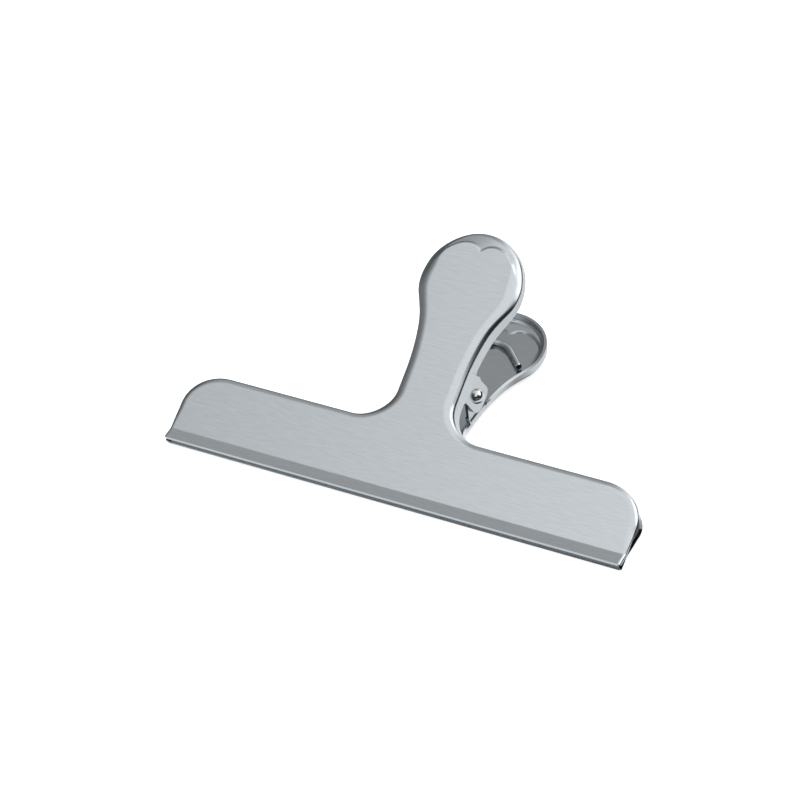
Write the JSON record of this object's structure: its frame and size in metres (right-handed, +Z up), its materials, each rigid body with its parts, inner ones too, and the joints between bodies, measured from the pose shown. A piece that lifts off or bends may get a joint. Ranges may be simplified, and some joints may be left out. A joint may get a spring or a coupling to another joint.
{
  "type": "wide-jaw spring clip",
  "caption": "Wide-jaw steel spring clip: pressed T-shaped plates hinged on a riveted pin, handles pushed apart by a torsion spring so the long lipped jaws stay shut.",
  "frame": {"origin": "on the surface that the clip lies on, under the middle of its bounding box", "axes": "+X along the jaws, +Y from the jaws to the tops of the handles, +Z up, away from the surface that the rear plate lies on"},
  "size_m": [0.14, 0.0808, 0.0413],
  "materials": {
    "plate_steel": "stainless sheet, brushed along the jaws",
    "pin_steel": "bright formed rivet",
    "spring_wire": "bright drawn spring wire"
  },
  "bodies": {
    "rear": {"rear_plate": "plate_steel", "torsion_spring": "spring_wire"},
    "front": {"front_plate": "plate_steel", "pivot_pin": "pin_steel"}
  },
  "joints": [
    {"name": "jaw_hinge", "type": "hinge", "parent": "rear", "child": "front", "pos_m": [0, -0.00253, 0.01108], "axis": [-1, 0, 0], "range_deg": [0, 45], "stiffness_Nm_per_rad": 0.25, "springref_deg": -68.75, "deforming": ["torsion_spring"]}
  ]
}
